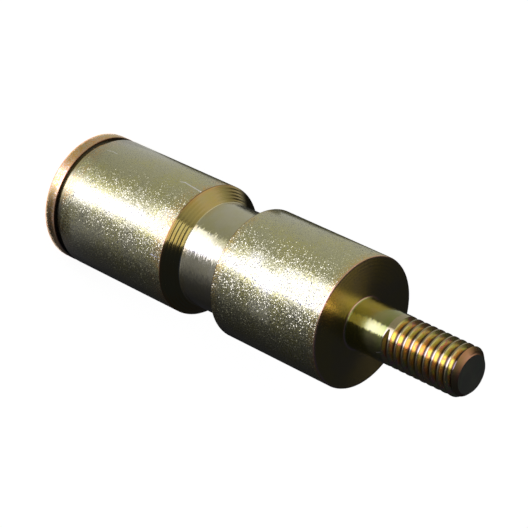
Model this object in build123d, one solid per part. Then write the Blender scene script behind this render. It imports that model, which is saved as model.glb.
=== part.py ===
from build123d import *
import os

os.makedirs("parts", exist_ok=True)

# A stud pin turned from one round bar, in mm. The axis is +Z, the collar's back
# face lies on Z = 0 and the threaded stud points up.

# The big diameters.
body_dia = 16.0
front_step = 0.15  # how far the front land is turned below the body, on radius
neck_drop = 1.6  # from the body down to the neck, on radius
relief_depth = 0.4  # of the narrow groove beside the collar

# Lengths along the axis, from the back face up.
collar_length = 1.6
relief_width = 1.0
body_length = 17.4
neck_length = 6.5
front_length = 16.0
shank_length = 5.2
thread_length = 10.3

# The coarse metric thread of the stud.
thread_dia = 6.0
pitch = 1.0
crest_taper = 0.03  # the crests fall this far under size towards the end, on radius
thread_start = -65.0  # degrees about Z from +X, where the groove first has its full depth

# Broken edges and inner corners.
back_chamfer = 0.15
edge_break = 0.12
front_chamfer = 0.2
root_radius = 0.25
nose_radius = 0.4  # left by the turning tool in both corners of the neck
end_chamfer = 0.7

# Radii and levels that follow from the sizes above.
body_radius = body_dia / 2
relief_radius = body_radius - relief_depth
neck_radius = body_radius - neck_drop
front_radius = body_radius - front_step
stud_radius = thread_dia / 2
end_radius = stud_radius - crest_taper

collar_top = collar_length
body_bottom = collar_top + relief_width
body_top = body_bottom + body_length
neck_bottom = body_top + neck_drop  # the shoulder falls at 45 degrees
front_bottom = neck_bottom + neck_length
front_face = front_bottom + front_length
thread_bottom = front_face + shank_length
stud_end = thread_bottom + thread_length


def rim(solid, radius, level):
    """The round edges of one radius at one level."""
    circles = solid.edges().filter_by(GeomType.CIRCLE)
    return [
        edge
        for edge in circles
        if abs(edge.radius - radius) < 0.001 and abs(edge.arc_center.Z - level) < 0.001
    ]


# Half the section, from the centre of the back face round to the tip of the stud.
with BuildPart() as turned:
    with BuildSketch(Plane.XZ):
        with BuildLine():
            Polyline(
                (0, 0),
                (body_radius, 0),
                (body_radius, collar_top),
                (relief_radius, collar_top),
                (relief_radius, body_bottom),
                (body_radius, body_bottom),
                (body_radius, body_top),
                (neck_radius, neck_bottom),
                (neck_radius, front_bottom),
                (front_radius, front_bottom),
                (front_radius, front_face),
                (stud_radius, front_face),
                (stud_radius, thread_bottom),
                (end_radius, stud_end),
                (0, stud_end),
                close=True,
            )
        make_face()
    revolve(axis=Axis.Z)
pin = turned.part

# Every outer corner has its edge broken, and the inner corners carry the tool's radius.
pin = pin.chamfer(back_chamfer, None, rim(pin, body_radius, 0))
for level in (collar_top, body_bottom, body_top):
    pin = pin.chamfer(edge_break, None, rim(pin, body_radius, level))
pin = pin.chamfer(edge_break, None, rim(pin, front_radius, front_bottom))
pin = pin.chamfer(front_chamfer, None, rim(pin, front_radius, front_face))
pin = pin.chamfer(end_chamfer, None, rim(pin, end_radius, stud_end))
pin = pin.fillet(root_radius, rim(pin, stud_radius, front_face))
for level in (neck_bottom, front_bottom):
    pin = pin.fillet(nose_radius, rim(pin, neck_radius, level))

# The thread is a 60 degree V groove with a crest flat of an eighth of the pitch and a
# root flat of a sixth. The tool enters above the stud's end and stops at the shank.
crest_flat = pitch / 8
root_flat = pitch / 6
slope = 0.57735  # half the groove's width gained per unit of depth, tan 30
thread_depth = (pitch - crest_flat - root_flat) / 2 / slope
root_of_thread = stud_radius - thread_depth
overcut = 0.05
mouth_half = (pitch - crest_flat) / 2 + overcut * slope
start_level = thread_bottom + mouth_half

with BuildSketch(Plane.XZ) as groove:
    with BuildLine():
        Polyline(
            (root_of_thread, start_level - root_flat / 2),
            (stud_radius + overcut, start_level - mouth_half),
            (stud_radius + overcut, start_level + mouth_half),
            (root_of_thread, start_level + root_flat / 2),
            close=True,
        )
    make_face()
tool_face = groove.sketch.face()

# The groove winds up past the end of the stud.
path = Edge.make_helix(
    pitch=pitch,
    height=thread_length + pitch,
    radius=root_of_thread,
    center=(0, 0, start_level),
)
winding = Solid.sweep(tool_face, path=path, is_frenet=True)

# Where the thread ends the tool leaves the shank on a straight tangent, so the groove
# gets shallower and runs out.
lead = path.tangent_at(0)
run_out = Solid.extrude(tool_face, -lead * thread_dia)

for passage in (winding, run_out):
    pin = pin - Rot(Z=thread_start) * passage

export_step(pin, "parts/turned_pin.step")
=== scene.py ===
import bmesh
import bpy
from math import pi, radians, tan
from mathutils import Matrix, Vector


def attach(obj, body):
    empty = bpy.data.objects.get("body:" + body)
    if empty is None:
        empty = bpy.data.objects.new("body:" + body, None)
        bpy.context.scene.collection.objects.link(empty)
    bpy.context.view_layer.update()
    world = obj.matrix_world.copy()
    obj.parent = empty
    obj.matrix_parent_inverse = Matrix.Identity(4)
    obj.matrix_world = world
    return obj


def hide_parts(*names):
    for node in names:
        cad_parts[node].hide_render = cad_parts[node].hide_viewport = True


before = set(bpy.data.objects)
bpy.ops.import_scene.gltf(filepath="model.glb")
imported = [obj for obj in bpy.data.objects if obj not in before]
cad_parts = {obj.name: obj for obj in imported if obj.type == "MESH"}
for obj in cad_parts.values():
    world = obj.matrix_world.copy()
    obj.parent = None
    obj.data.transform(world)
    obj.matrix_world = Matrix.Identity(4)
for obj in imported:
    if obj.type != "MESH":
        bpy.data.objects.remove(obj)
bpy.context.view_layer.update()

# ---------------------------------------------------------------------------
# The turned pin. One 16 mm bar of free-cutting steel, turned in one clamping: collar,
# relief groove, body, shoulder, neck, front land and stud. The thread is cut last.
# ---------------------------------------------------------------------------
MM = 0.001
body_radius = 8.0 * MM
relief_radius = 7.6 * MM
neck_radius = 6.4 * MM
front_radius = 7.85 * MM
stud_radius = 3.0 * MM
tip_radius = 2.97 * MM
collar_top = 1.6 * MM
body_bottom = 2.6 * MM
body_top = 20.0 * MM
neck_bottom = 21.6 * MM
front_bottom = 28.1 * MM
front_face = 44.1 * MM
thread_bottom = 49.3 * MM
stud_end = 59.6 * MM
sides_round_the_bar = 192
merge_distance = 1e-4 * MM

blank = bmesh.new()
half_section = [
    (0, 0),
    (body_radius, 0),
    (body_radius, collar_top),
    (relief_radius, collar_top),
    (relief_radius, body_bottom),
    (body_radius, body_bottom),
    (body_radius, body_top),
    (neck_radius, neck_bottom),
    (neck_radius, front_bottom),
    (front_radius, front_bottom),
    (front_radius, front_face),
    (stud_radius, front_face),
    (stud_radius, thread_bottom),
    (tip_radius, stud_end),
    (0, stud_end),
]
corners = [blank.verts.new((radius, 0, level)) for radius, level in half_section]
outline = [blank.edges.new(pair) for pair in zip(corners, corners[1:])]
bmesh.ops.spin(
    blank,
    geom=corners + outline,
    cent=(0, 0, 0),
    axis=(0, 0, 1),
    angle=2 * pi,
    steps=sides_round_the_bar,
    use_merge=True,
)
bmesh.ops.remove_doubles(blank, verts=blank.verts, dist=merge_distance)
bmesh.ops.recalc_face_normals(blank, faces=blank.faces)


hair = 0.001 * MM


def rim(mesh, radius, level):
    """The ring of edges round the bar at one radius and level."""
    return [
        edge
        for edge in mesh.edges
        if all(
            abs(v.co.xy.length - radius) < hair and abs(v.co.z - level) < hair
            for v in edge.verts
        )
    ]


def break_edge(radius, level, size, steps):
    bmesh.ops.bevel(
        blank,
        geom=rim(blank, radius, level),
        offset=size,
        offset_type="OFFSET",
        segments=steps,
        profile=0.5,
        affect="EDGES",
        material=-1,
    )


back_chamfer = 0.15 * MM
broken_edge = 0.12 * MM
front_chamfer = 0.2 * MM
stud_root = 0.25 * MM
nose_radius = 0.4 * MM
end_chamfer = 0.7 * MM
break_edge(body_radius, 0, back_chamfer, 2)
for level in (collar_top, body_bottom, body_top):
    break_edge(body_radius, level, broken_edge, 2)
break_edge(front_radius, front_bottom, broken_edge, 2)
break_edge(front_radius, front_face, front_chamfer, 2)
break_edge(stud_radius, front_face, stud_root, 4)
# A 45 degree corner takes its radius in a shorter length than a square one.
break_edge(neck_radius, neck_bottom, nose_radius * tan(pi / 8), 4)
break_edge(neck_radius, front_bottom, nose_radius, 4)
break_edge(tip_radius, stud_end, end_chamfer, 1)

# The thread is cut with a V tool, 60 degrees, pitch 1 mm, that leaves the shank on a
# straight tangent, so the groove runs out.
pitch = 1.0 * MM
groove_depth = 0.6134 * pitch
overcut = 0.05 * MM
root_radius = stud_radius - groove_depth
root_half = pitch / 12
mouth_half = pitch * 7 / 16 + overcut * tan(radians(30))
start_level = thread_bottom + mouth_half
start_angle = radians(-65)
run_out_length = 6 * MM
turn_steps = 96
turns = 11

tool = bmesh.new()
tool_face = tool.faces.new(
    [
        tool.verts.new((radius, 0, start_level + rise))
        for radius, rise in (
            (root_radius, -root_half),
            (stud_radius + overcut, -mouth_half),
            (stud_radius + overcut, mouth_half),
            (root_radius, root_half),
        )
    ]
)
lead = Vector((0, 2 * pi * root_radius, pitch)).normalized()
grown = bmesh.ops.extrude_face_region(tool, geom=[tool_face])
far_verts = [item for item in grown["geom"] if isinstance(item, bmesh.types.BMVert)]
bmesh.ops.translate(tool, verts=far_verts, vec=-lead * run_out_length)
near_face = min(tool.faces, key=lambda face: abs(face.calc_center_median().y))
bmesh.ops.spin(
    tool,
    geom=[near_face] + list(near_face.edges) + list(near_face.verts),
    cent=(0, 0, 0),
    axis=(0, 0, 1),
    dvec=(0, 0, pitch / turn_steps),
    angle=2 * pi * turns,
    steps=turn_steps * turns,
)
bmesh.ops.recalc_face_normals(tool, faces=tool.faces)
turned_to_start = Matrix.Rotation(start_angle, 3, "Z")
bmesh.ops.rotate(tool, verts=tool.verts, cent=(0, 0, 0), matrix=turned_to_start)


def mesh_object(name, mesh):
    data = bpy.data.meshes.new(name)
    mesh.to_mesh(data)
    mesh.free()
    item = bpy.data.objects.new(name, data)
    bpy.context.scene.collection.objects.link(item)
    return item


pin = mesh_object("turned_pin_finished", blank)
cutter = mesh_object("thread_tool", tool)
cut = pin.modifiers.new("cut the thread", "BOOLEAN")
cut.operation = "DIFFERENCE"
cut.solver = "EXACT"
cut.object = cutter
bpy.context.view_layer.update()
threaded = bpy.data.meshes.new_from_object(
    pin.evaluated_get(bpy.context.evaluated_depsgraph_get())
)
pin.modifiers.clear()
pin.data = threaded
bpy.data.objects.remove(cutter)
threaded.shade_smooth()
threaded.set_sharp_from_angle(angle=radians(25))

# ---------------------------------------------------------------------------
# The plating. Yellow zinc over the turned steel, a few microns thick and cleared in a
# chromate bath, so each surface shows the tool that cut it and its own shade of yellow.
# Some of these colours also hold painted shade, said where they are set.
# ---------------------------------------------------------------------------
def add(tree, kind, inputs=None, **settings):
    """A node with its settings and inputs. An input is a value or another node's socket."""
    node = tree.nodes.new("ShaderNode" + kind)
    for name, setting in settings.items():
        setattr(node, name, setting)
    for name, given in (inputs or {}).items():
        if isinstance(given, bpy.types.NodeSocket):
            tree.links.new(given, node.inputs[name])
        else:
            node.inputs[name].default_value = given
    return node


def math(tree, operation, first, second=0.0):
    return add(tree, "Math", {0: first, 1: second}, operation=operation).outputs[0]


def mix(tree, share, first, second):
    node = add(tree, "Mix", {0: share}, data_type="RGBA")
    for socket, given in ((6, first), (7, second)):
        if isinstance(given, bpy.types.NodeSocket):
            tree.links.new(given, node.inputs[socket])
        else:
            node.inputs[socket].default_value = given
    return node.outputs[2]


def step(tree, value, low, high):
    """Rises smoothly from 0 at low to 1 at high."""
    inputs = {"Value": value, "From Min": low, "From Max": high}
    node = add(tree, "MapRange", inputs, interpolation_type="SMOOTHSTEP")
    return node.outputs["Result"]


def rgb(red, green, blue):
    return (red, green, blue, 1.0)


def new_group(name, inputs, outputs):
    """An empty node group. Inputs are name, kind of socket and value."""
    tree = bpy.data.node_groups.new(name, "ShaderNodeTree")
    for title, kind, value in inputs:
        socket = tree.interface.new_socket(title, in_out="INPUT", socket_type="NodeSocket" + kind)
        socket.default_value = value
    for title, kind in outputs:
        tree.interface.new_socket(title, in_out="OUTPUT", socket_type="NodeSocket" + kind)
    given = tree.nodes.new("NodeGroupInput").outputs
    result = tree.nodes.new("NodeGroupOutput").inputs
    return tree, given, result


def use(tree, group, **inputs):
    node = tree.nodes.new("ShaderNodeGroup")
    node.node_tree = group
    for name, given in inputs.items():
        socket = node.inputs[name.replace("_", " ")]
        if isinstance(given, bpy.types.NodeSocket):
            tree.links.new(given, socket)
        else:
            socket.default_value = given
    return node.outputs


def place(tree, scale=(1, 1, 1)):
    """The point on the pin, in metres times scale."""
    where = add(tree, "TexCoord").outputs["Object"]
    return add(tree, "Mapping", {"Vector": where, "Scale": scale}).outputs[0]


def noise(tree, grain, stretch=(1, 1, 1)):
    """Cloudy noise whose cells are grain across, in metres, over stretch."""
    scale = tuple(share / grain for share in stretch)
    inputs = {"Vector": place(tree, scale), "Scale": 1.0, "Detail": 2.0, "Roughness": 0.5}
    return add(tree, "TexNoise", inputs).outputs["Fac"]


# The yellow drifts between olive and grey in patches a few millimetres wide, and turns
# to copper near the edges, where the bath drains slowly.
tint, given, result = new_group(
    "plating_tint",
    (
        ("Main", "Color", rgb(0.6, 0.55, 0.3)),
        ("Patch", "Color", rgb(0.6, 0.5, 0.3)),
        ("Edge", "Color", rgb(0.7, 0.45, 0.2)),
        ("Low end", "Float", 0.0),
        ("High end", "Float", 0.02),
        ("Reach", "Float", 0.002),
    ),
    (("Color", "Color"),),
)
level = add(tint, "SeparateXYZ", {0: place(tint)}).outputs["Z"]
above = math(tint, "SUBTRACT", level, given["Low end"])
below = math(tint, "SUBTRACT", given["High end"], level)
near_edge = math(tint, "DIVIDE", math(tint, "MINIMUM", above, below), given["Reach"])
edge_share = math(tint, "SUBTRACT", 1.0, step(tint, near_edge, 0.0, 1.0))
edge_cloud = step(tint, noise(tint, 2.2 * MM), 0.34, 0.56)
patch_share = step(tint, noise(tint, 3.4 * MM), 0.4, 0.62)
body_colour = mix(tint, patch_share, given["Main"], given["Patch"])
edge_mix = math(tint, "MULTIPLY", edge_share, edge_cloud)
tint.links.new(mix(tint, edge_mix, body_colour, given["Edge"]), result["Color"])

# Tumbled steel under the plating: crystals a tenth of a millimetre across. A share of
# them is polished, pale, and leans its own way, so it glints beside a highlight.
crystals, given, result = new_group(
    "crystals",
    (
        ("Size", "Float", 0.12 * MM),
        ("Lean", "Float", 0.5),
        ("Polished", "Float", 0.3),
        ("Metal", "Color", rgb(0.6, 0.55, 0.3)),
        ("Glint", "Color", rgb(0.8, 0.8, 0.7)),
    ),
    (("Color", "Color"), ("Roughness", "Float"), ("Normal", "Vector")),
)
per_metre = math(crystals, "DIVIDE", 1.0, given["Size"])
cell = add(crystals, "TexVoronoi", {"Vector": place(crystals), "Scale": per_metre}).outputs
centred = add(
    crystals, "VectorMath", {0: cell["Color"], 1: (0.5, 0.5, 0.5)}, operation="SUBTRACT"
).outputs[0]
own = add(crystals, "Mapping", {"Vector": cell["Position"], "Location": (0.31, 0.17, 0.23)})
chosen = add(crystals, "TexWhiteNoise", {"Vector": own.outputs[0]}).outputs["Value"]
polished = math(crystals, "LESS_THAN", chosen, given["Polished"])
share = add(crystals, "MapRange", {"Value": polished, "To Min": 0.05, "To Max": 1.0})
lean = math(crystals, "MULTIPLY", given["Lean"], share.outputs["Result"])
leaning = add(crystals, "VectorMath", {0: centred, "Scale": lean}, operation="SCALE").outputs[0]
facing = add(crystals, "NewGeometry").outputs["Normal"]
leaned = add(crystals, "VectorMath", {0: facing, 1: leaning}, operation="ADD").outputs[0]
unit = add(crystals, "VectorMath", {0: leaned}, operation="NORMALIZE").outputs[0]
crystals.links.new(unit, result["Normal"])
gloss = add(crystals, "MapRange", {"Value": polished, "To Min": 0.3, "To Max": 0.21})
crystals.links.new(gloss.outputs["Result"], result["Roughness"])
crystals.links.new(mix(crystals, polished, given["Metal"], given["Glint"]), result["Color"])

# Rings left by the tool, read along the bar or out from its centre.
rings, given, result = new_group(
    "turning_rings",
    (("Along", "Float", 0.0), ("Feed", "Float", 0.2 * MM), ("Depth", "Float", 1e-6)),
    (("Height", "Float"),),
)
turn_count = math(rings, "DIVIDE", given["Along"], given["Feed"])
uneven = add(
    rings, "TexNoise", {"W": turn_count, "Scale": 0.9, "Detail": 1.0}, noise_dimensions="1D"
).outputs["Fac"]
wave = math(rings, "SINE", math(rings, "MULTIPLY", turn_count, 2 * pi))
wave = math(rings, "MULTIPLY", math(rings, "MULTIPLY", wave, uneven), given["Depth"])
rings.links.new(wave, result["Height"])

# Chatter turns the surface a little to the left and right, in short strokes.
chatter, given, result = new_group(
    "chatter",
    (("Swing", "Float", 0.1),),
    (("Normal", "Vector"),),
)
facing = add(chatter, "NewGeometry").outputs["Normal"]
around = add(
    chatter, "VectorMath", {0: (0.0, 0.0, 1.0), 1: facing}, operation="CROSS_PRODUCT"
).outputs[0]
strokes = noise(chatter, 0.16 * MM, stretch=(0.3, 0.3, 1))
swing = math(chatter, "MULTIPLY", math(chatter, "SUBTRACT", strokes, 0.5), given["Swing"])
push = add(chatter, "VectorMath", {0: around, "Scale": swing}, operation="SCALE").outputs[0]
swung = add(chatter, "VectorMath", {0: facing, 1: push}, operation="ADD").outputs[0]
level_out = add(chatter, "VectorMath", {0: swung}, operation="NORMALIZE").outputs[0]
chatter.links.new(level_out, result["Normal"])


# A scratch is a bright line through the plating. It is placed on the unrolled surface:
# millimetres round the bar from the front, and level.
scratch, given, result = new_group(
    "scratch",
    (
        ("Radius", "Float", body_radius),
        ("Start", "Vector", (0, 0, 0)),
        ("End", "Vector", (0, 0, 0)),
        ("Width", "Float", 0.1 * MM),
    ),
    (("Mask", "Float"),),
)
on_pin = add(scratch, "SeparateXYZ", {0: place(scratch)}).outputs
left, front = (math(scratch, "MULTIPLY", on_pin[axis], -1.0) for axis in ("X", "Y"))
arc = math(scratch, "MULTIPLY", math(scratch, "ARCTAN2", left, front), given["Radius"])
unrolled = add(scratch, "CombineXYZ", {"X": arc, "Y": on_pin["Z"]}).outputs[0]


def scratch_vector(operation, first, second, output=0):
    node = add(scratch, "VectorMath", {0: first, 1: second}, operation=operation)
    return node.outputs[output]


run = scratch_vector("SUBTRACT", given["End"], given["Start"])
offset = scratch_vector("SUBTRACT", unrolled, given["Start"])
along = math(
    scratch,
    "DIVIDE",
    scratch_vector("DOT_PRODUCT", offset, run, "Value"),
    scratch_vector("DOT_PRODUCT", run, run, "Value"),
)
along = add(scratch, "Clamp", {"Value": along}).outputs[0]
nearest = add(scratch, "VectorMath", {0: run, "Scale": along}, operation="SCALE").outputs[0]
aside = scratch_vector("DISTANCE", offset, nearest, "Value")
mask = math(scratch, "SUBTRACT", 1.0, step(scratch, aside, 0.0, given["Width"]))
scratch.links.new(mask, result["Mask"])


def plating(name, roughness, spread, clear):
    """Plated steel. Spread is how far the tool's rings smear a reflection."""
    material = bpy.data.materials.new(name)
    material.use_nodes = True
    tree = material.node_tree
    metal = tree.nodes["Principled BSDF"]
    metal.inputs["Metallic"].default_value = 1
    metal.inputs["Roughness"].default_value = roughness
    metal.inputs["Anisotropic"].default_value = spread
    metal.inputs["Anisotropic Rotation"].default_value = 0.25
    metal.inputs["Coat Weight"].default_value = clear
    metal.inputs["Coat IOR"].default_value = 1.8
    metal.inputs["Coat Roughness"].default_value = 0.12
    round_bar = add(tree, "Tangent", direction_type="RADIAL", axis="Z").outputs[0]
    tree.links.new(round_bar, metal.inputs["Tangent"])
    pin.data.materials.append(material)
    return tree, metal


def crystalline(tree, metal, **inputs):
    """Breaks the surface up into crystals of the colour that it has so far."""
    tone = metal.inputs["Base Color"].links[0].from_socket
    grain = use(tree, crystals, Metal=tone, **inputs)
    tree.links.new(grain["Color"], metal.inputs["Base Color"])
    tree.links.new(grain["Roughness"], metal.inputs["Roughness"])
    tree.links.new(grain["Normal"], metal.inputs["Normal"])


def bump(tree, metal, height):
    lifted = add(tree, "Bump", {"Height": height, "Strength": 1.0, "Distance": 1.0})
    tree.links.new(lifted.outputs[0], metal.inputs["Normal"])


def tinted(tree, metal, **inputs):
    tree.links.new(use(tree, tint, **inputs)["Color"], metal.inputs["Base Color"])


body_tree, body_metal = plating("body_plating", 0.22, 0.3, 1.0)
tinted(
    body_tree,
    body_metal,
    Main=rgb(0.6, 0.56, 0.17),
    Patch=rgb(0.57, 0.54, 0.25),
    Edge=rgb(0.74, 0.47, 0.1),
    Low_end=body_bottom,
    High_end=body_top,
    Reach=2.5 * MM,
)
crystalline(
    body_tree,
    body_metal,
    Glint=rgb(0.62, 0.59, 0.32),
    Size=0.085 * MM,
    Lean=0.8,
    Polished=0.42,
)

bare_metal = rgb(1, 0.97, 0.86)
bare_roughness = 0.5


def scratched(tree, metal, radius, marks):
    """Scratches from point to point, each (degrees round from the front, level in mm)."""
    for width, points in marks:
        for point, following in zip(points, points[1:]):
            ends = [(radius * radians(turn), level * MM, 0) for turn, level in (point, following)]
            line = use(tree, scratch, Radius=radius, Start=ends[0], End=ends[1], Width=width * MM)
            tone, gloss = metal.inputs["Base Color"], metal.inputs["Roughness"]
            whole = tone.links[0].from_socket
            tree.links.new(mix(tree, line["Mask"], whole, bare_metal), tone)
            whole = gloss.links[0].from_socket if gloss.links else gloss.default_value
            worn = add(tree, "Mix", {0: line["Mask"], 2: whole, 3: bare_roughness}).outputs[0]
            tree.links.new(worn, gloss)


scratched(
    body_tree,
    body_metal,
    body_radius,
    (
        (0.14, ((46, 16.3), (47.5, 16.8), (46.5, 17.9), (45, 19.85))),
        (0.09, ((44, 4.0), (45.5, 4.8), (45, 5.6))),
        (0.12, ((-24, 18.3), (-24, 19.4))),
    ),
)

front_tree, front_metal = plating("front_plating", 0.22, 0.3, 1.0)
tinted(
    front_tree,
    front_metal,
    Main=rgb(0.58, 0.56, 0.26),
    Patch=rgb(0.61, 0.57, 0.17),
    Edge=rgb(0.74, 0.52, 0.1),
    Low_end=front_bottom,
    High_end=front_face,
    Reach=1.6 * MM,
)
crystalline(
    front_tree,
    front_metal,
    Glint=rgb(0.62, 0.59, 0.32),
    Size=0.09 * MM,
    Lean=0.84,
    Polished=0.42,
)

collar_tree, collar_metal = plating("collar_plating", 0.3, 0.3, 0.1)
tinted(
    collar_tree,
    collar_metal,
    Main=rgb(0.95, 0.52, 0.19),
    Patch=rgb(0.82, 0.55, 0.14),
    Edge=rgb(0.9, 0.5, 0.3),
    Low_end=0.0,
    High_end=collar_top,
    Reach=0.5 * MM,
)
crystalline(
    collar_tree,
    collar_metal,
    Glint=rgb(0.9, 0.7, 0.45),
    Size=0.12 * MM,
    Lean=0.28,
    Polished=0.4,
)

neck_tree, neck_metal = plating("neck_plating", 0.16, 0.6, 1.0)
tinted(
    neck_tree,
    neck_metal,
    Main=rgb(0.58, 0.54, 0.25),
    Patch=rgb(0.6, 0.56, 0.33),
    Edge=rgb(0.6, 0.5, 0.2),
    Low_end=neck_bottom,
    High_end=front_bottom,
    Reach=1.0 * MM,
)
neck_tree.links.new(
    use(neck_tree, chatter, Swing=0.35)["Normal"], neck_metal.inputs["Normal"]
)

# The shank's olive is about half as bright as the body's yellow, and darker still within 1.5 mm
# of the front face and of the thread. Part of that is the plating's own olive and part is painted
# shade, most of all beside the front face.
shank_tree, shank_metal = plating("shank_plating_and_painted_shade", 0.16, 0.5, 0.6)
tinted(
    shank_tree,
    shank_metal,
    Main=rgb(0.33, 0.34, 0.075),
    Patch=rgb(0.37, 0.34, 0.1),
    Edge=rgb(0.29, 0.31, 0.055),
    Low_end=front_face,
    High_end=thread_bottom,
    Reach=1.5 * MM,
)
shank_tree.links.new(
    use(shank_tree, chatter, Swing=0.3)["Normal"], shank_metal.inputs["Normal"]
)
scratched(
    shank_tree,
    shank_metal,
    stud_radius,
    ((0.1, ((-48, 48.75), (-44, 49.2), (-40, 49.9))),),
)

# The shoulder's gold is about two thirds as bright as the body's yellow. Part of that is the
# plating's own darker gold and part is painted shade.
cone_tree, cone_metal = plating("shoulder_plating_and_painted_shade", 0.15, 0.5, 0.1)
tinted(
    cone_tree,
    cone_metal,
    Main=rgb(0.42, 0.31, 0.085),
    Patch=rgb(0.4, 0.32, 0.1),
    Edge=rgb(0.52, 0.29, 0.08),
    Low_end=body_top - 0.2 * MM,
    High_end=neck_bottom + 3 * MM,
    Reach=0.6 * MM,
)
cone_level = add(cone_tree, "SeparateXYZ", {0: place(cone_tree)}).outputs["Z"]
bump(
    cone_tree,
    cone_metal,
    use(cone_tree, rings, Along=cone_level, Feed=0.31 * MM, Depth=0.022 * MM)["Height"],
)

edge_tree, edge_metal = plating("edge_plating", 0.25, 0.3, 0.5)
tinted(
    edge_tree,
    edge_metal,
    Main=rgb(0.85, 0.5, 0.28),
    Patch=rgb(0.8, 0.5, 0.22),
    Edge=rgb(0.8, 0.4, 0.3),
    Low_end=0.0,
    High_end=stud_end,
    Reach=1 * MM,
)

face_tree, face_metal = plating("face_plating", 0.25, 0.92, 0.1)
tinted(
    face_tree,
    face_metal,
    Main=rgb(0.76, 0.54, 0.13),
    Patch=rgb(0.7, 0.5, 0.16),
    Edge=rgb(0.6, 0.4, 0.2),
    Low_end=0.0,
    High_end=stud_end,
    Reach=1 * MM,
)
across = add(
    face_tree, "VectorMath", {0: place(face_tree, (1, 1, 0))}, operation="LENGTH"
).outputs["Value"]
bump(
    face_tree,
    face_metal,
    use(face_tree, rings, Along=across, Feed=0.45 * MM, Depth=0.006 * MM)["Height"],
)

# In the thread the yellow changes between gold, copper and green from one turn to the
# next. Towards the roots it darkens to red-brown, which is painted shade in the grooves,
# and the crests are a duller, paler yellow.
thread_tree, thread_metal = plating("thread_plating", 0.22, 0.4, 0.6)
flank = mix(
    thread_tree,
    step(thread_tree, noise(thread_tree, 1.1 * MM), 0.42, 0.56),
    rgb(0.86, 0.52, 0.14),
    rgb(0.76, 0.68, 0.18),
)
flank = mix(
    thread_tree,
    step(thread_tree, noise(thread_tree, 0.7 * MM, stretch=(1, 1, 1.4)), 0.52, 0.64),
    flank,
    rgb(0.82, 0.4, 0.24),
)
out_from_axis = add(
    thread_tree, "VectorMath", {0: place(thread_tree, (1, 1, 0))}, operation="LENGTH"
).outputs["Value"]
# Painted shade in the thread's grooves: red-brown at the roots, gone 0.3 mm up the flanks.
clear_of_root_shade = step(thread_tree, out_from_axis, root_radius, root_radius + 0.3 * MM)
to_crest = step(thread_tree, out_from_axis, stud_radius - 0.06 * MM, stud_radius - 0.02 * MM)
root_painted_shade = mix(thread_tree, clear_of_root_shade, rgb(0.13, 0.08, 0.05), flank)
thread_tree.links.new(
    mix(thread_tree, to_crest, root_painted_shade, rgb(0.46, 0.38, 0.18)), thread_metal.inputs["Base Color"]
)

tip_tree, tip_metal = plating("tip_plating", 0.28, 0.2, 0.4)
tinted(
    tip_tree,
    tip_metal,
    Main=rgb(0.86, 0.78, 0.36),
    Patch=rgb(0.84, 0.74, 0.32),
    Edge=rgb(0.84, 0.72, 0.34),
    Low_end=0.0,
    High_end=stud_end,
    Reach=1 * MM,
)

bevel_tree, bevel_metal = plating("bevel_plating", 0.3, 0.2, 0.1)
tinted(
    bevel_tree,
    bevel_metal,
    Main=rgb(0.42, 0.2, 0.075),
    Patch=rgb(0.36, 0.26, 0.09),
    Edge=rgb(0.48, 0.23, 0.11),
    Low_end=0.0,
    High_end=stud_end,
    Reach=0.5 * MM,
)

# The broken edges of the body and the front land are dark copper-brown. Part of that is the
# plating's copper at the edges and part is a painted dark reflection, which makes them thin dark
# lines.
rim_tree, rim_metal = plating("broken_edge_copper_and_painted_dark", 0.2, 0.2, 0.1)
tinted(
    rim_tree,
    rim_metal,
    Main=rgb(0.4, 0.2, 0.08),
    Patch=rgb(0.3, 0.18, 0.08),
    Edge=rgb(0.4, 0.2, 0.1),
    Low_end=0.0,
    High_end=stud_end,
    Reach=1 * MM,
)

# The relief groove is dark brown beside the collar. Part of that darkness is the photo's
# shadow, painted into the colour.
groove_tree, groove_metal = plating("groove_plating", 0.4, 0.2, 0.1)
tinted(
    groove_tree,
    groove_metal,
    Main=rgb(0.07, 0.055, 0.035),
    Patch=rgb(0.05, 0.045, 0.04),
    Edge=rgb(0.1, 0.06, 0.03),
    Low_end=0.0,
    High_end=stud_end,
    Reach=1 * MM,
)

slots = {material.name: k for k, material in enumerate(pin.data.materials)}


def surface_of(polygon):
    """The kind of surface that a face of the mesh belongs to."""
    radius = polygon.center.xy.length
    level = polygon.center.z
    upright = polygon.normal.z
    faces_up = upright > 0.99
    faces_out = abs(upright) < 0.3
    if level > thread_bottom:
        if faces_up:
            return "tip_plating"
        near_tip = level > stud_end - end_chamfer + 0.2 * MM
        return "bevel_plating" if near_tip and upright > 0.6 else "thread_plating"
    if level > front_face + 0.01 * MM:
        return "shank_plating_and_painted_shade" if radius < stud_radius + 0.1 * MM else "edge_plating"
    if collar_top - 0.01 * MM < level < body_bottom - 0.05 * MM and faces_up:
        return "groove_plating"
    if faces_up:
        return "face_plating"
    if level < collar_top and faces_out:
        return "collar_plating"
    if body_bottom < level < body_top - 0.13 * MM and faces_out:
        return "body_plating"
    if body_top - 0.05 * MM < level < neck_bottom and 0.5 < upright < 0.8:
        return "shoulder_plating_and_painted_shade"
    if neck_bottom - 0.2 * MM < level < front_bottom and radius < neck_radius + 0.2 * MM:
        return "neck_plating"
    if level > front_bottom and faces_out:
        return "front_plating"
    if level < body_bottom and faces_out:
        return "neck_plating"
    copper_edge = level < collar_top or level > front_face - 1 * MM
    return "edge_plating" if copper_edge else "broken_edge_copper_and_painted_dark"


for polygon in pin.data.polygons:
    polygon.material_index = slots[surface_of(polygon)]

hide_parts("turned_pin")
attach(pin, "root")

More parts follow.
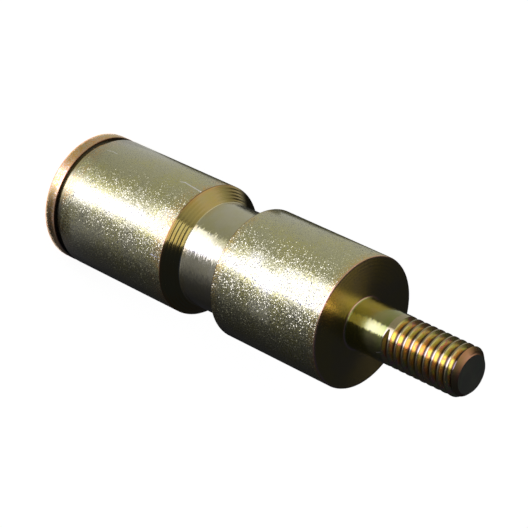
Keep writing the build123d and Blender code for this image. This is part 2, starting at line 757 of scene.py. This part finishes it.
# ---------------------------------------------------------------------------
# The studio. The pin stands on a sheet of white paper under a soft box. Shaded cards lie
# on the paper and a shaded drape hangs round it. Only reflections see them. There they
# hide the white paper and the white room, so the metal doesn't mirror the background,
# and they glow by themselves, at most 3.4 times as bright as white. Their shades were
# set until the metal's bands, seen from the photo's angle, were those of the photo.
# ---------------------------------------------------------------------------
def stage_surface(item, colour, glow):
    """Matt paper that may also give light of its own."""
    paper = bpy.data.materials.new(item.name)
    paper.use_nodes = True
    surface = paper.node_tree.nodes["Principled BSDF"]
    surface.inputs["Base Color"].default_value = (colour, colour, colour, 1)
    surface.inputs["Roughness"].default_value = 1
    surface.inputs["Specular IOR Level"].default_value = 0
    surface.inputs["Emission Color"].default_value = (1, 1, 1, 1)
    surface.inputs["Emission Strength"].default_value = glow
    item.data.materials.append(paper)
    return paper.node_tree


def mirrored_only(item):
    item.visible_camera = False
    item.visible_diffuse = False
    item.visible_transmission = False
    item.visible_shadow = False


paper_white = 0.8
backdrop_glow = 0.86
sheet = bmesh.new()
bmesh.ops.create_grid(sheet, x_segments=1, y_segments=1, size=3)
floor_tree = stage_surface(mesh_object("floor", sheet), paper_white, 0)
rays = add(floor_tree, "LightPath").outputs
seen = math(floor_tree, "MAXIMUM", rays["Is Camera Ray"], rays["Is Glossy Ray"])
seen = math(floor_tree, "MAXIMUM", seen, rays["Is Transmission Ray"])
floor_tree.links.new(
    math(floor_tree, "MULTIPLY", seen, backdrop_glow),
    floor_tree.nodes["Principled BSDF"].inputs["Emission Strength"],
)


def cast(degrees, shade, dark_side_tint):
    """A shade's colour, set to match the photo: bluest where brightest, warm on the wall."""
    if shade > 2.5:
        tint = (1, 1, 1.65)
    elif shade > 0.8:
        tint = (1, 1, 1.3)
    elif -80 < degrees < 110:
        tint = dark_side_tint
    else:
        tint = (1, 1, 0.95)
    return rgb(*(shade * part for part in tint))


# The cards and the drape are shaded by the direction from the pin, in degrees from +X:
# dark on +X, one lit strip under the soft box, mid grey on -X.
def shade_by_direction(item, shades, dark_side_tint=(1, 1, 1.2)):
    tree = stage_surface(item, 0, 1)
    mirrored_only(item)
    split = add(tree, "SeparateXYZ", {0: add(tree, "TexCoord").outputs["Object"]}).outputs
    angle = math(tree, "ARCTAN2", split["Y"], split["X"])
    inputs = {"Value": angle, "From Min": -pi, "From Max": pi}
    share = add(tree, "MapRange", inputs).outputs["Result"]
    ramp_node = add(tree, "ValToRGB", {"Fac": share})
    ramp = ramp_node.color_ramp
    for degrees, shade in shades:
        stop = ramp.elements.new((degrees + 180) / 360)
        stop.color = cast(degrees, shade, dark_side_tint)
    first, last = shades[0][1], shades[-1][1]
    behind = (first + last) / 2
    ramp.elements[0].color = rgb(behind, behind, behind)
    ramp.elements[len(ramp.elements) - 1].color = rgb(behind, behind, behind)
    tree.links.new(
        ramp_node.outputs["Color"], tree.nodes["Principled BSDF"].inputs["Emission Color"]
    )


card_level = 0.05 * MM
room_reach = 2.9


def flat_ring(name, inner, outer):
    ring = bmesh.new()
    start = [ring.verts.new((reach, 0, card_level)) for reach in (inner, outer)]
    bmesh.ops.spin(
        ring,
        geom=[ring.edges.new(start), *start],
        cent=(0, 0, 0),
        axis=(0, 0, 1),
        angle=2 * pi,
        steps=64,
        use_merge=True,
    )
    return mesh_object(name, ring)


dark_side = ((-20, 0.05), (-9, 0.034), (26, 0.016))
wall_side = ((-160, 0.42), (-140, 0.37), (-127, 0.35))
near_strip = (
    (-118, 0.4),
    (-108, 0.8),
    (-101, 1.5),
    (-95, 3.0),
    (-83, 3.0),
    (-77, 1.7),
    (-72, 0.5),
    (-66, 0.32),
    (-58, 0.28),
    (-45, 0.25),
    (-34, 0.13),
)
far_strip = (
    (-113, 0.33),
    (-105, 0.7),
    (-99, 1.7),
    (-94, 3.4),
    (-72, 3.4),
    (-68, 1.0),
    (-64, 0.5),
    (-58, 0.42),
    (-45, 0.48),
    (-34, 0.32),
)
shade_by_direction(
    flat_ring("card_at_the_foot", 8.1 * MM, 10.1 * MM),
    (
        (-160, 0.42),
        (-130, 0.32),
        (-110, 0.5),
        (-103, 0.9),
        (-97, 2.2),
        (-86, 2.4),
        (-82, 1.1),
        (-75, 0.45),
        (-68, 0.18),
        (-60, 0.07),
        (-50, 0.03),
        (-40, 0.02),
        *dark_side,
        (138, 0.01),
        (149, 0.46),
    ),
)
shade_by_direction(
    flat_ring("near_card", 10.1 * MM, 34 * MM),
    (*wall_side, *near_strip, *dark_side, (138, 0.01), (149, 0.46)),
)
for name, inner, outer in (
    ("middle_card", 34 * MM, 43 * MM),
    ("outer_card", 61.5 * MM, room_reach),
):
    shade_by_direction(
        flat_ring(name, inner, outer),
        (
            *wall_side,
            (-121, 0.3),
            (-118, 2.2),
            (-100, 3.0),
            (-77, 3.0),
            (-74, 0.2),
            (-60, 0.2),
            (-45, 0.12),
            (-34, 0.08),
            *dark_side,
            (122, 0.01),
            (132, 0.46),
        ),
    )
shade_by_direction(
    flat_ring("far_card", 43 * MM, 61.5 * MM),
    (*wall_side, *far_strip, *dark_side, (125, 0.01), (137, 0.46)),
)

drape = bmesh.new()
bmesh.ops.create_uvsphere(drape, u_segments=64, v_segments=24, radius=room_reach)
bmesh.ops.bisect_plane(
    drape,
    geom=[*drape.verts, *drape.edges, *drape.faces],
    plane_co=(0, 0, 0),
    plane_no=(0, 0, 1),
    clear_inner=True,
)
shade_by_direction(
    mesh_object("drape", drape),
    (
        (-165, 0.85),
        (-150, 0.7),
        (-125, 0.5),
        (-112, 0.2),
        (-60, 0.026),
        (100, 0.018),
        (138, 0.05),
        (147, 0.34),
        (158, 0.6),
        (170, 0.85),
    ),
    dark_side_tint=(0.75, 0.95, 1.9),
)

world = bpy.data.worlds.new("room")
bpy.context.scene.world = world
world.use_nodes = True
room = world.node_tree
room_rays = add(room, "LightPath").outputs
seen_directly = math(room, "MAXIMUM", room_rays["Is Camera Ray"], room_rays["Is Glossy Ray"])
seen_directly = math(room, "MAXIMUM", seen_directly, room_rays["Is Transmission Ray"])
room_light = 0.15
room.links.new(
    math(room, "MAXIMUM", seen_directly, room_light), room.nodes["Background"].inputs["Strength"]
)
room.nodes["Background"].inputs["Color"].default_value = rgb(1, 1, 1)

lamp = bpy.data.lights.new("soft_box", "AREA")
lamp.shape = "RECTANGLE"
lamp.size = 0.3
lamp.size_y = 0.27
lamp.energy = 0.33
soft_box = bpy.data.objects.new("soft_box", lamp)
bpy.context.scene.collection.objects.link(soft_box)
soft_box.location = (-0.0293, -0.4183, 0.2923)
soft_box.rotation_euler = (radians(57), 0, radians(-4))
soft_box.visible_camera = False

# ---------------------------------------------------------------------------
# The camera. It stands in front of the pin, 38 degrees above the paper, and is rolled so
# that the pin lies across the picture from top left to bottom right.
# ---------------------------------------------------------------------------
bpy.context.scene.view_settings.view_transform = "Standard"
camera_data = bpy.data.cameras.new("camera")
camera_data.sensor_width = 36
camera_data.lens = 152.31
camera = bpy.data.objects.new("camera", camera_data)
bpy.context.scene.collection.objects.link(camera)
camera.location = (-0.001247, -0.201738, 0.18478)
camera.rotation_euler = (radians(-28.726), radians(-45.626), radians(127.48))
bpy.context.scene.camera = camera
